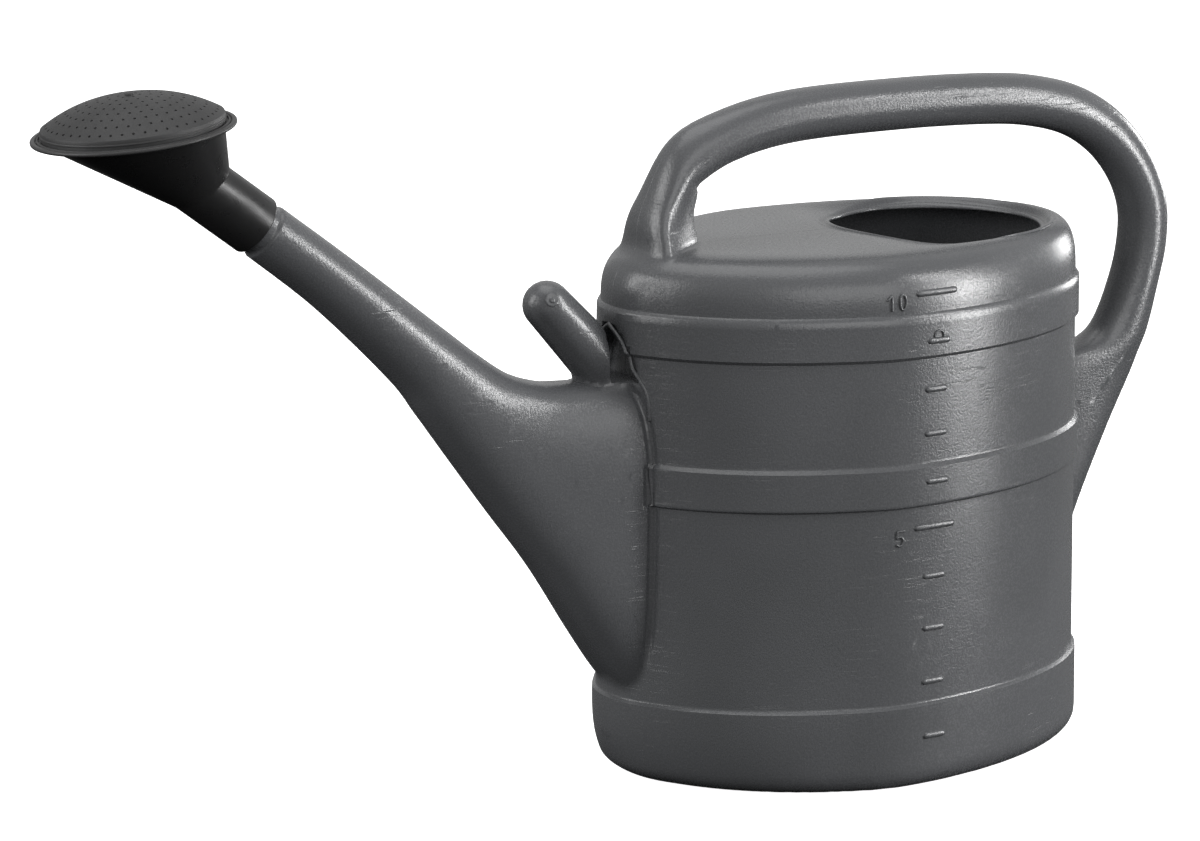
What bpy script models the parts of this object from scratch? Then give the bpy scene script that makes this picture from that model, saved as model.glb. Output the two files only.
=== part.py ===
"""Ten-litre blow-moulded watering can with a push-on rose.

Frame: metres, +Z up, origin at the centre of the flat base. The can is symmetric about Y = 0, its spout
points towards -X and the back of its handle towards +X.

can_body     one hollow moulding: oval tank, spout, closed-loop handle and the peg that parks the rose
rose_funnel  the rose's push-on socket, widening into an oblique funnel with a rim
rose_face    the domed, perforated plate that snaps into that rim
"""

import math

import bmesh
import bpy
from mathutils import Matrix, Vector

# Driving dimensions, in metres.
WALL = 0.002
FIT_GAP = 0.0003

TANK_HALF_LENGTH = 0.136
TANK_HALF_WIDTH = 0.093
TANK_WIDEST_X = -0.009
TANK_FRONT_POWER = 1.7
TANK_REAR_POWER = 2.0
TANK_TAPER = 0.106
TAPER_ZERO_Z = 0.164
TANK_STEPS = 40
BASE_STEPS = 3
BASE_ROUNDING = 0.010
TOE_DEPTH = 0.011
TOE_HEIGHT = 0.044
TOE_POWER = 3.0
BAND_HEIGHTS = ((0.0, 0.0446), (0.1480, 0.1689), (0.2237, 0.2455))
BAND_PROUD = 0.002
BAND_SLOPE = 0.002
SHOULDER_Z = 0.2465
SHOULDER_INSET = 0.020
SHOULDER_REAR_INSET = 0.011
SHOULDER_POWER = 2.3
SHOULDER_STEPS = 4
TOP_Z = 0.2735
CREST_WALLS = 2.0

MOUTH_FRONT_X = -0.0012
MOUTH_REAR_X = 0.1180
MOUTH_WIDEST_X = 0.0610
MOUTH_HALF_WIDTH = 0.0558
MOUTH_FRONT_POWER = 1.62
MOUTH_REAR_POWER = 1.58
MOUTH_DISH = 0.0043
MOUTH_DISH_LENGTH = 0.028
MOUTH_CUT = 0.015
MOUTH_TRIM = 0.0004

HOOP_RADIUS = 0.0134
LOFT_STEPS = 14
SECTIONS_BETWEEN = 1

SPOUT_SLOPE = math.radians(37.5)
SPOUT_SHOULDER = Vector((-0.3245, 0, 0.3011))
SPOUT_RADIUS = 0.0142
SHOULDER_CHAMFER = 0.0004
SPIGOT_RADIUS = 0.013
SPIGOT_LENGTH = 0.032

PEG_TIP = Vector((-0.1720, 0, 0.2504))
PEG_ROOT = Vector((-0.1330, 0, 0.2079))
PEG_TIP_RADIUS = 0.0122
PEG_STEPS = 4
PEG_ROOT_RADIUS = 0.0148

SOCKET_RADIUS = 0.01505
SOCKET_LENGTH = 0.031
SOCKET_START = 0.006
ROSE_STEPS = 40
ROSE_RIM_CENTRE = Vector((-0.3906, 0, 0.3548))
ROSE_RIM_TILT = math.radians(6)
ROSE_RADIUS = 0.0483
RIM_LOW = -0.0010
RIM_TOP = 0.0012
RIM_WIDTH = 0.0026
RIM_OVERHANG = 0.0058
EDGE_ROUNDING = 0.0008
PLATE_THICKNESS = 0.0016
DOME_RADIUS = 0.0430
DOME_FOOT = 0.0054
DOME_HEIGHT = 0.0120
DOME_POWER = 2.32
DOME_STEPS = 7
FLANGE_HEIGHT = 0.0013
LEDGE_HEIGHT = 0.0002
HOLE_RADIUS = 0.0009
HOLE_RINGS = 3
HOLE_PITCH = 0.0125
HOLES_PER_RING = 6
HOLE_STEPS = 6

CAN_COLOUR = (0.095, 0.098, 0.103, 1)
CAN_ROUGHNESS = 0.42
ROSE_COLOUR = (0.012, 0.012, 0.013, 1)
ROSE_ROUGHNESS = 0.3
FACE_COLOUR = (0.045, 0.045, 0.047, 1)
FACE_ROUGHNESS = 0.55

# The spout's sections, root to tip: lower and upper points in the plane Y = 0 as (x, z), the half width,
# and the power of the section's curve, 2 for an ellipse and more for a squarer one.
SPOUT_SECTIONS = (
    ((-0.118, 0.0320), (-0.118, 0.2090), 0.0275, 3.6),
    ((-0.136, 0.0500), (-0.136, 0.2090), 0.0275, 3.6),
    ((-0.1535, 0.0745), (-0.150, 0.2095), 0.0262, 3.2),
    ((-0.179, 0.1140), (-0.164, 0.2104), 0.0240, 2.8),
    ((-0.2045, 0.1478), (-0.1776, 0.2122), 0.0216, 2.5),
    ((-0.2265, 0.1777), (-0.1950, 0.2185), 0.0195, 2.3),
    ((-0.2445, 0.2025), (-0.2121, 0.2302), 0.0182, 2.15),
    ((-0.2590, 0.2215), (-0.2316, 0.2459), 0.0168, 2.0),
    ((-0.2975, 0.2603), (-0.2775, 0.2827), 0.0148, 2.0),
)

# The handle's foot, bottom to top: front and rear points in the plane Y = 0, half width and power.
FOOT_SECTIONS = (
    ((-0.0860, 0.2400), (-0.1340, 0.2400), 0.0295, 1.5),
    ((-0.0855, 0.2740), (-0.1295, 0.2740), 0.0280, 1.5),
    ((-0.0875, 0.2880), (-0.1254, 0.2855), 0.0215, 1.7),
    ((-0.0855, 0.3000), (-0.1190, 0.2972), 0.0165, 1.9),
)

# The middle line of the handle's round hoop, foot to web, in the plane Y = 0.
HOOP_PATH = (
    (-0.0945, 0.3142),
    (-0.0705, 0.3260),
    (-0.0300, 0.3335),
    (0.0360, 0.3348),
    (0.0860, 0.3334),
    (0.1165, 0.3302),
    (0.1440, 0.3227),
    (0.1668, 0.3086),
    (0.1835, 0.2893),
    (0.1920, 0.2690),
    (0.1926, 0.2490),
    (0.1882, 0.2285),
)

# The web that joins the hoop's rear leg to the tank's back, top to bottom: inner and outer points.
WEB_SECTIONS = (
    ((0.1650, 0.2085), (0.1955, 0.2025), 0.0130, 2.1),
    ((0.1530, 0.1985), (0.1900, 0.1900), 0.0128, 2.3),
    ((0.1230, 0.1875), (0.1836, 0.1770), 0.0124, 3.0),
    ((0.1230, 0.1520), (0.1680, 0.1470), 0.0118, 3.0),
    ((0.1230, 0.1070), (0.1495, 0.1070), 0.0108, 3.0),
    ((0.1215, 0.0700), (0.1362, 0.0700), 0.0098, 3.0),
    ((0.1180, 0.0540), (0.1290, 0.0540), 0.0090, 3.0),
)


def clear_scene():
    for obj in list(bpy.data.objects):
        bpy.data.objects.remove(obj, do_unlink=True)


def collection_named(name):
    made = bpy.data.collections.new(name)
    bpy.context.scene.collection.children.link(made)
    return made


def material_named(name, colour, roughness):
    made = bpy.data.materials.new(name)
    made.use_nodes = True
    shader = made.node_tree.nodes["Principled BSDF"]
    shader.inputs["Base Color"].default_value = colour
    shader.inputs["Roughness"].default_value = roughness
    shader.inputs["Metallic"].default_value = 0.0
    return made


def signed_power(value, power):
    return math.copysign(abs(value) ** power, value)


def oval(front, rear, half_width, front_power, rear_power, steps):
    """A closed outline round (0, 0): a superellipse of length front for x < 0 and rear for x > 0."""
    points = []
    for i in range(steps):
        angle = 2 * math.pi * (i + 0.5) / steps
        c, s = math.cos(angle), math.sin(angle)
        power, reach = (front_power, front) if c < 0 else (rear_power, rear)
        points.append((reach * signed_power(c, 2 / power), half_width * signed_power(s, 2 / power)))
    return points


def tank_ring(z, inset, shoulder=0.0):
    """The tank's outline at height z, moved inwards by inset and by a share of the shoulder's inset."""
    scale = 1 + TANK_TAPER * (TAPER_ZERO_Z - z)
    toe = TOE_DEPTH * max(1 - z / TOE_HEIGHT, 0) ** TOE_POWER
    front = (TANK_HALF_LENGTH + TANK_WIDEST_X) * scale - inset - toe - shoulder * SHOULDER_INSET
    rear = (TANK_HALF_LENGTH - TANK_WIDEST_X) * scale - inset - shoulder * SHOULDER_REAR_INSET
    outline = oval(
        front,
        rear,
        TANK_HALF_WIDTH * scale - inset - shoulder * SHOULDER_INSET,
        TANK_FRONT_POWER,
        TANK_REAR_POWER,
        TANK_STEPS,
    )
    return [Vector((x + TANK_WIDEST_X, y, z)) for x, y in outline]


def mouth_height(x):
    """The mouth's edge dips from the flat top at its pointed front into a shallow dish."""
    along = min(max((x - MOUTH_FRONT_X) / MOUTH_DISH_LENGTH, 0), 1)
    return TOP_Z - MOUTH_DISH * along * along * (3 - 2 * along)


def mouth_ring(inset, drop=0.0):
    outline = oval(
        MOUTH_WIDEST_X - MOUTH_FRONT_X - inset,
        MOUTH_REAR_X - MOUTH_WIDEST_X - inset,
        MOUTH_HALF_WIDTH - inset,
        MOUTH_FRONT_POWER,
        MOUTH_REAR_POWER,
        TANK_STEPS,
    )
    ring = []
    for x, y in outline:
        x += MOUTH_WIDEST_X
        ring.append(Vector((x, y, mouth_height(x) - drop)))
    return ring


def level_ring(ring, z):
    return [Vector((point.x, point.y, z)) for point in ring]


def quarter_turn(steps):
    """(sine, cosine) pairs from 0 to a right angle."""
    angles = [math.pi / 2 * i / steps for i in range(steps + 1)]
    return [(math.sin(a), math.cos(a)) for a in angles]


def tank_rings(inset, with_bands):
    """The rings of the tank's skin from base to crest, moved inwards by inset.

    The inside stops CREST_WALLS walls below the crest, which keeps it clear of the dish round the mouth.
    """
    crest = TOP_Z - CREST_WALLS * inset
    rings = []
    for sine, cosine in quarter_turn(BASE_STEPS):
        z = inset + (BASE_ROUNDING - inset) * (1 - cosine)
        rings.append(tank_ring(z, inset - BAND_PROUD + (BASE_ROUNDING - inset) * (1 - sine)))
    rings.append(tank_ring((BASE_ROUNDING + TOE_HEIGHT) / 2, inset - BAND_PROUD))
    for low, high in BAND_HEIGHTS if with_bands else ():
        if low > 0:
            rings.append(tank_ring(low - BAND_SLOPE / 2, inset))
            rings.append(tank_ring(low + BAND_SLOPE / 2, inset - BAND_PROUD))
        rings.append(tank_ring(high - BAND_SLOPE / 2, inset - BAND_PROUD))
        rings.append(tank_ring(high + BAND_SLOPE / 2, inset))
    if not with_bands:
        rings.append(tank_ring(BAND_HEIGHTS[0][1], inset))
    for sine, cosine in quarter_turn(SHOULDER_STEPS)[1 if with_bands else 0 :]:
        rise, run = sine ** (2 / SHOULDER_POWER), cosine ** (2 / SHOULDER_POWER)
        rings.append(tank_ring(SHOULDER_Z + (crest - SHOULDER_Z) * rise, inset, 1 - run))
    return rings


def mesh_object(name, rings, collection, is_tube=False):
    """A closed mesh through rings of equal length, capped at both ends or, as a tube's wall, end to end."""
    mesh = bpy.data.meshes.new(name)
    work = bmesh.new()
    rows = [[work.verts.new(point) for point in ring] for ring in rings]
    following_rows = rows[1:] + rows[:1] if is_tube else rows[1:]
    for row, following in zip(rows, following_rows):
        for i in range(len(row)):
            j = (i + 1) % len(row)
            work.faces.new((row[i], row[j], following[j], following[i]))
    for row in () if is_tube else (rows[0], rows[-1]):
        work.faces.new(row)
    bmesh.ops.triangulate(work, faces=[f for f in work.faces if len(f.verts) > 4])
    bmesh.ops.recalc_face_normals(work, faces=work.faces)
    work.to_mesh(mesh)
    work.free()
    made = bpy.data.objects.new(name, mesh)
    collection.objects.link(made)
    return made


def section_ring(section, inset):
    """One closed ring across the plane Y = 0, between the section's two points, moved inwards by inset."""
    (inner_x, inner_z), (outer_x, outer_z), half_width, power = section
    inner = Vector((inner_x, 0, inner_z))
    outer = Vector((outer_x, 0, outer_z))
    across = (outer - inner).normalized()
    reach = (outer - inner).length / 2 - inset
    middle = (inner + outer) / 2
    outline = oval(reach, reach, half_width - inset, power, power, LOFT_STEPS)
    return [middle + across * u + Vector((0, v, 0)) for u, v in outline]


def between(a, b, share):
    return a + (b - a) * share


def hoop_sections():
    """Round sections across HOOP_PATH, each square to the path's local direction."""
    sections = []
    points = [Vector((x, 0, z)) for x, z in HOOP_PATH]
    for i, point in enumerate(points):
        before = points[max(i - 1, 0)]
        after = points[min(i + 1, len(points) - 1)]
        along = (after - before).normalized()
        outward = Vector((-along.z, 0, along.x)) * HOOP_RADIUS
        inner, outer = point - outward, point + outward
        sections.append(((inner.x, inner.z), (outer.x, outer.z), HOOP_RADIUS, 2.0))
    return sections


def smooth_sections(sections):
    """The given sections with SECTIONS_BETWEEN more between each two, on a Catmull-Rom curve."""
    flat = [Vector((*inner, *outer)) for inner, outer, _, _ in sections]
    result = []
    for i in range(len(sections) - 1):
        p0, p1, p2, p3 = (flat[min(max(i + k, 0), len(flat) - 1)] for k in (-1, 0, 1, 2))
        for step in range(SECTIONS_BETWEEN + 1):
            t = step / (SECTIONS_BETWEEN + 1)
            point = 0.5 * (
                2 * p1
                + (p2 - p0) * t
                + (2 * p0 - 5 * p1 + 4 * p2 - p3) * t * t
                + (3 * p1 - p0 - 3 * p2 + p3) * t * t * t
            )
            half_width = between(sections[i][2], sections[i + 1][2], t)
            power = between(sections[i][3], sections[i + 1][3], t)
            result.append(((point[0], point[1]), (point[2], point[3]), half_width, power))
    result.append(sections[-1])
    return result


def round_rings(start, direction, stations, steps):
    """Rings square to a direction in the plane Y = 0, at each (distance from start, radius)."""
    across = Vector((direction.z, 0, -direction.x))
    rings = []
    for distance, radius in stations:
        ring = []
        for i in range(steps):
            angle = 2 * math.pi * (i + 0.5) / steps
            spoke = across * math.cos(angle) + Vector((0, math.sin(angle), 0))
            ring.append(start + direction * distance + spoke * radius)
        rings.append(ring)
    return rings


def turned(name, profile, steps, collection):
    """A turned solid about its own Z: a profile of (radius, z) points from axis to axis, with a Screw."""
    mesh = bpy.data.meshes.new(name)
    points = [(radius, 0, z) for radius, z in profile]
    edges = [(i, i + 1) for i in range(len(points) - 1)]
    mesh.from_pydata(points, edges, [])
    made = bpy.data.objects.new(name, mesh)
    collection.objects.link(made)
    screw = made.modifiers.new("turn", "SCREW")
    screw.axis = "Z"
    screw.steps = steps
    screw.render_steps = steps
    screw.use_merge_vertices = True
    screw.merge_threshold = 0.00001
    return made


def boolean(target, operation, other):
    modifier = target.modifiers.new(other.name, "BOOLEAN")
    modifier.operation = operation
    modifier.solver = "EXACT"
    modifier.object = other
    other.hide_render = True
    other.display_type = "WIRE"


def spout_rings(inset):
    """The spout from inside the tank to its shoulder, then the thinner spigot that the rose pushes onto."""
    axis = spout_axis()
    up = Vector((math.sin(SPOUT_SLOPE), 0, math.cos(SPOUT_SLOPE)))
    rings = [section_ring(section, inset) for section in smooth_sections(SPOUT_SECTIONS)]
    overrun = WALL if inset else 0.0
    stations = [(SHOULDER_CHAMFER, SPIGOT_RADIUS), (SPIGOT_LENGTH + overrun, SPIGOT_RADIUS)]
    if not inset:
        stations.insert(0, (0.0, SPOUT_RADIUS))
    for distance, radius in stations:
        middle = SPOUT_SHOULDER + axis * distance
        low, high = middle - up * radius, middle + up * radius
        rings.append(section_ring(((low.x, low.z), (high.x, high.z), radius, 2.0), inset))
    return rings


def handle_rings(inset):
    sections = list(FOOT_SECTIONS) + hoop_sections() + list(WEB_SECTIONS)
    return [section_ring(section, inset) for section in smooth_sections(sections)]


def peg_rings(inset):
    """A tapered stub with a hemispherical end."""
    direction = (PEG_TIP - PEG_ROOT).normalized()
    length = (PEG_TIP - PEG_ROOT).length
    stations = [(-inset, PEG_ROOT_RADIUS - inset)]
    end_radius = PEG_TIP_RADIUS - inset
    for sine, cosine in quarter_turn(PEG_STEPS)[:-1]:
        stations.append((length + end_radius * sine, end_radius * cosine))
    return round_rings(PEG_ROOT, direction, stations, LOFT_STEPS)


def make_can(parts, cutters, material):
    """The outer shapes joined, then the inner ones cut out, which leaves one wall all round."""
    top = [mouth_ring(0.0)]
    can = mesh_object("can_body", tank_rings(0.0, True) + top, parts)
    for name, rings in (
        ("spout_outside", spout_rings(0.0)),
        ("handle_outside", handle_rings(0.0)),
        ("peg_outside", peg_rings(0.0)),
    ):
        boolean(can, "UNION", mesh_object(name, rings, cutters))
    inner_top = [mouth_ring(0.0, WALL)]
    neck = [level_ring(mouth_ring(-MOUTH_TRIM), TOP_Z + offset) for offset in (-MOUTH_CUT, MOUTH_CUT)]
    for name, rings in (
        ("tank_inside", tank_rings(WALL, False) + inner_top),
        ("mouth_inside", neck),
        ("spout_inside", spout_rings(WALL)),
        ("handle_inside", handle_rings(WALL)),
        ("peg_inside", peg_rings(WALL)),
    ):
        boolean(can, "DIFFERENCE", mesh_object(name, rings, cutters))
    can.data.materials.append(material)
    return can


def spout_axis():
    return Vector((-math.cos(SPOUT_SLOPE), 0, math.sin(SPOUT_SLOPE)))


def rim_normal():
    return Vector((-math.sin(ROSE_RIM_TILT), 0, math.cos(ROSE_RIM_TILT)))


def make_funnel(parts, pivot, material):
    """One wall all round: the socket's outside, the funnel, its rim, and down the inside to the bore."""
    bore = SPIGOT_RADIUS + FIT_GAP
    throat = SPIGOT_LENGTH + FIT_GAP
    top = SOCKET_START + SOCKET_LENGTH
    seat = ROSE_RADIUS - RIM_WIDTH
    edge = EDGE_ROUNDING
    socket_outside = (
        (SOCKET_START, SOCKET_RADIUS - edge),
        (SOCKET_START + edge, SOCKET_RADIUS),
        (top, SOCKET_RADIUS),
    )
    rim = (
        (RIM_LOW, ROSE_RADIUS - RIM_OVERHANG),
        (RIM_LOW, ROSE_RADIUS - edge),
        (RIM_LOW + edge, ROSE_RADIUS),
        (RIM_TOP - edge, ROSE_RADIUS),
        (RIM_TOP, ROSE_RADIUS - edge),
        (RIM_TOP, seat),
        (LEDGE_HEIGHT, seat),
        (LEDGE_HEIGHT, ROSE_RADIUS - RIM_OVERHANG - WALL),
    )
    socket_inside = ((top, bore - WALL), (throat, bore - WALL), (throat, bore), (SOCKET_START, bore))
    rings = round_rings(SPOUT_SHOULDER, spout_axis(), socket_outside, ROSE_STEPS)
    rings += round_rings(ROSE_RIM_CENTRE, rim_normal(), rim, ROSE_STEPS)
    rings += round_rings(SPOUT_SHOULDER, spout_axis(), socket_inside, ROSE_STEPS)
    funnel = mesh_object("rose_funnel", rings, parts, is_tube=True)
    funnel.data.transform(Matrix.Translation(-pivot.location))
    funnel.parent = pivot
    funnel.data.materials.append(material)
    return funnel


def dome_points(base_radius, base_z):
    """(radius, z) from the top of the dome down to its edge."""
    shares = [i / DOME_STEPS for i in range(DOME_STEPS + 1)]
    return [(base_radius * t, base_z + DOME_HEIGHT * (1 - t**DOME_POWER)) for t in shares]


def hole_cutter(collection):
    """Six-sided pins through the plate, HOLES_PER_RING more in each ring outwards."""
    work = bmesh.new()
    for ring in range(HOLE_RINGS + 1):
        count = max(ring * HOLES_PER_RING, 1)
        for i in range(count):
            angle = 2 * math.pi * i / count
            spot = Vector((math.cos(angle), math.sin(angle), 0)) * (ring * HOLE_PITCH)
            bmesh.ops.create_cone(
                work,
                cap_ends=True,
                segments=HOLE_STEPS,
                radius1=HOLE_RADIUS,
                radius2=HOLE_RADIUS,
                depth=3 * DOME_HEIGHT,
                matrix=Matrix.Translation(spot),
            )
    mesh = bpy.data.meshes.new("spray_holes")
    work.to_mesh(mesh)
    work.free()
    made = bpy.data.objects.new("spray_holes", mesh)
    collection.objects.link(made)
    return made


def make_face(parts, cutters, pivot, material):
    """The domed plate on its flange, seated in the funnel's rim."""
    flange = ROSE_RADIUS - RIM_WIDTH - FIT_GAP
    foot = LEDGE_HEIGHT + FIT_GAP
    outside = dome_points(DOME_RADIUS, DOME_FOOT)
    inside = dome_points(DOME_RADIUS - PLATE_THICKNESS, DOME_FOOT - PLATE_THICKNESS)
    edge = [
        (DOME_RADIUS, FLANGE_HEIGHT),
        (flange, FLANGE_HEIGHT),
        (flange, foot),
        (DOME_RADIUS - PLATE_THICKNESS, foot),
    ]
    profile = outside + edge + inside[::-1]
    face = turned("rose_face", profile, ROSE_STEPS, parts)
    holes = hole_cutter(cutters)
    for obj, parent_place in ((face, pivot.location), (holes, Vector())):
        obj.location = ROSE_RIM_CENTRE - parent_place
        obj.rotation_euler = (0, -ROSE_RIM_TILT, 0)
    face.parent = pivot
    boolean(face, "DIFFERENCE", holes)
    face.data.materials.append(material)
    return face


def main():
    clear_scene()
    parts = collection_named("watering_can")
    cutters = collection_named("cutters")
    can_plastic = material_named("can_plastic", CAN_COLOUR, CAN_ROUGHNESS)
    rose_plastic = material_named("rose_plastic", ROSE_COLOUR, ROSE_ROUGHNESS)
    face_plastic = material_named("face_plastic", FACE_COLOUR, FACE_ROUGHNESS)
    make_can(parts, cutters, can_plastic)
    pivot = bpy.data.objects.new("rose_axis", None)
    pivot.location = SPOUT_SHOULDER
    parts.objects.link(pivot)
    make_funnel(parts, pivot, rose_plastic)
    make_face(parts, cutters, pivot, face_plastic)


main()
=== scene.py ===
"""Looks for the ten-litre watering can: skins, mouth rim, litre scale, rose, materials, light and camera.

Frame: metres, +Z up, origin at the centre of the flat base, spout towards -X, handle towards +X.
"""

import math

import bmesh
import bpy
import numpy as np
from mathutils import Matrix, Vector


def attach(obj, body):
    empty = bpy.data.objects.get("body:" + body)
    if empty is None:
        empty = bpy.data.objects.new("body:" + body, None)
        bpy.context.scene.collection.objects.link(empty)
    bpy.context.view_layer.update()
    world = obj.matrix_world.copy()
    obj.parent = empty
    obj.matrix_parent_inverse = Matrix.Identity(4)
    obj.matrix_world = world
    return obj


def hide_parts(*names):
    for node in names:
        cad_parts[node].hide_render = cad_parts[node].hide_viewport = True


# The can's shape.
WALL = 0.002
TANK_HALF_LENGTH = 0.136
TANK_HALF_WIDTH = 0.093
TANK_WIDEST_X = -0.009
TANK_FRONT_POWER = 1.7
TANK_REAR_POWER = 2.0
TANK_TAPER = 0.106
TAPER_ZERO_Z = 0.164
BASE_ROUNDING = 0.010
TOE_DEPTH = 0.011
TOE_HEIGHT = 0.044
TOE_POWER = 3.0
BAND_HEIGHTS = ((-0.010, 0.0446), (0.1480, 0.1689), (0.2237, 0.2455))
BAND_PROUD = 0.0019
BAND_SLOPE = 0.0016
SHOULDER_Z = 0.2465
SHOULDER_INSET = 0.030
SHOULDER_REAR_INSET = 0.014
SHOULDER_POWER = 2.9
TOP_Z = 0.2735
MOUTH_FRONT_X = 0.0015
MOUTH_REAR_X = 0.1151
MOUTH_WIDEST_X = 0.0595
MOUTH_HALF_WIDTH = 0.0543
MOUTH_FRONT_POWER = 1.85
MOUTH_REAR_POWER = 1.85
MOUTH_DISH = 0.0043
MOUTH_CREST_INSET = 0.020
MOUTH_CREST_REAR_INSET = 0.010
MOUTH_DISH_START = -0.006
MOUTH_DISH_LENGTH = 0.038
HOOP_RADIUS = 0.0134
SPOUT_SLOPE = math.radians(37.5)
SPOUT_SHOULDER = Vector((-0.3245, 0, 0.3011))
SPOUT_AXIS = Vector((-math.cos(SPOUT_SLOPE), 0, math.sin(SPOUT_SLOPE)))
SPOUT_RADIUS = 0.0142
BORE_RADIUS = 0.0105
SPIGOT_RADIUS = 0.013
SPIGOT_LENGTH = 0.032
PEG_TIP = (-0.1720, 0, 0.2504)
PEG_ROOT = (-0.1330, 0, 0.2079)
PEG_TIP_RADIUS = 0.0122
PEG_ROOT_RADIUS = 0.0148

# The arched recess behind the peg, and the groove where the spout leaves the tank.
POCKET_MIDDLE_Z = 0.200
POCKET_RISE = 0.0375
POCKET_HALF_WIDTH = 0.0200
POCKET_POWER = 1.9
POCKET_FLOOR_Z = 0.2100
POCKET_BACK_X = -0.1270
POCKET_FRONT_X = -0.1430
POCKET_FILLET = 0.0016
ARCH_RIDGE = (
    (0.0000, 0.2371),
    (0.0092, 0.2319),
    (0.0139, 0.2258),
    (0.0150, 0.2175),
    (0.0189, 0.2128),
    (0.0231, 0.2065),
    (0.0246, 0.1999),
    (0.0251, 0.1918),
)
RIDGE_RADIUS = 0.0011
RIDGE_LIFT = -0.0006
GROOVE_DEPTH = 0.0020
GROOVE_WIDTH = 0.0015
GROOVE_END = (0.060, 0.085)
RELIEF_DEPTH = 0.0025
RELIEF_WIDTH = 0.008

# How softly one shape runs into the next.
FOOT_FILLET = 0.0035
SPOUT_FILLET = 0.0012
PEG_FILLET = 0.003

# The spout's sections, root to tip: the lower and upper points in the plane Y = 0 as (x, z), the half width,
# and the power of the section's curve, 2 for an ellipse and more for a squarer one.
SPOUT_SECTIONS = (
    ((-0.100, 0.0120), (-0.100, 0.2090), 0.0275, 3.6),
    ((-0.118, 0.0320), (-0.118, 0.2090), 0.0275, 3.6),
    ((-0.136, 0.0500), (-0.136, 0.2090), 0.0275, 3.6),
    ((-0.1535, 0.0745), (-0.150, 0.2095), 0.0262, 3.2),
    ((-0.179, 0.1140), (-0.164, 0.2104), 0.0240, 2.8),
    ((-0.2045, 0.1478), (-0.1776, 0.2122), 0.0216, 2.5),
    ((-0.2265, 0.1777), (-0.1950, 0.2185), 0.0195, 2.3),
    ((-0.2445, 0.2025), (-0.2121, 0.2302), 0.0182, 2.15),
    ((-0.2590, 0.2215), (-0.2316, 0.2459), 0.0168, 2.0),
    ((-0.2975, 0.2603), (-0.2775, 0.2827), 0.0148, 2.0),
    ((-0.3332, 0.2898), (-0.3158, 0.3124), 0.0142, 2.0),
    ((-0.3491, 0.3020), (-0.3317, 0.3246), 0.0142, 2.0),
)

# The handle's foot, bottom to top: rear and front points in the plane Y = 0, half width, the powers of its
# front and its rear, and how far its widest line lies towards the front, as a share of half its length.
FOOT_SECTIONS = (
    ((-0.0860, 0.2300), (-0.1290, 0.2300), 0.0175, 2.2, 1.2, 0.70),
    ((-0.0860, 0.2480), (-0.1300, 0.2480), 0.0205, 2.2, 1.2, 0.68),
    ((-0.0855, 0.2620), (-0.1258, 0.2620), 0.0222, 2.2, 1.2, 0.66),
    ((-0.0855, 0.2740), (-0.1212, 0.2740), 0.0220, 2.2, 1.2, 0.64),
    ((-0.0875, 0.2880), (-0.1202, 0.2860), 0.0180, 2.2, 1.3, 0.60),
    ((-0.0855, 0.3000), (-0.1165, 0.2972), 0.0151, 2.1, 1.6, 0.50),
)

# The middle line of the handle's round hoop, foot to web, in the plane Y = 0.
HOOP_PATH = (
    (-0.0945, 0.3142),
    (-0.0705, 0.3260),
    (-0.0300, 0.3335),
    (0.0360, 0.3348),
    (0.0860, 0.3334),
    (0.1165, 0.3302),
    (0.1440, 0.3227),
    (0.1668, 0.3086),
    (0.1835, 0.2893),
    (0.1920, 0.2690),
    (0.1926, 0.2490),
    (0.1882, 0.2285),
)

# The web that joins the hoop's rear leg to the tank's back, top to bottom: inner and outer points.
WEB_SECTIONS = (
    ((0.1650, 0.2085), (0.1955, 0.2025), 0.0130, 2.1),
    ((0.1530, 0.1985), (0.1900, 0.1900), 0.0128, 2.3),
    ((0.1230, 0.1875), (0.1836, 0.1770), 0.0124, 3.0),
    ((0.1230, 0.1520), (0.1680, 0.1470), 0.0118, 3.0),
    ((0.1230, 0.1070), (0.1495, 0.1070), 0.0108, 3.0),
    ((0.1215, 0.0700), (0.1362, 0.0700), 0.0098, 3.0),
    ((0.1180, 0.0540), (0.1290, 0.0540), 0.0090, 3.0),
)

# The mouth's rim: (outwards from the mouth's edge, above the tank's top), from the inside over the bead.
RIM_PROFILE = (
    (0.0020, -0.0016),
    (0.0004, -0.0012),
    (0.0000, -0.0008),
    (0.0000, -0.0002),
    (0.0004, 0.0003),
    (0.0010, 0.0005),
    (0.0017, 0.0003),
    (0.0023, -0.0003),
    (0.0029, -0.0009),
    (0.0036, -0.0011),
    (0.0044, -0.0008),
    (0.0052, -0.0002),
    (0.0061, 0.00010),
    (0.0070, 0.00008),
    (0.0074, -0.0006),
    (0.0060, -0.0018),
)
RIM_CUT = 0.0062
MOUTH_CUT = 0.015
TIP_CUT = 0.040
MOUTH_STEPS = 260
MOUTH_SMOOTHING = 6

# The litre scale: the height of each mark from 1 litre up, and the numerals, drawn as lines.
LITRE_HEIGHTS = (0.028, 0.056, 0.084, 0.111, 0.1367, 0.1605, 0.1845, 0.207, 0.232, 0.256)
SCALE_X = -0.0015
SHORT_BAR = 0.0138
LONG_BAR = 0.0250
BAR_RADIUS = 0.0018
BAR_LIFT = -0.0005
NUMERAL_HEIGHT = 0.0076
NUMERAL_RADIUS = 0.0006
NUMERAL_LIFT = 0.0003
NUMERALS = (
    ("1", -0.0278, 0.2488),
    ("0", -0.0215, 0.2488),
    ("5", -0.0220, 0.1285),
    ("arch", SCALE_X, 0.2330),
)
BOW_STEPS = 26
ARCH_STEPS = 22
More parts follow.
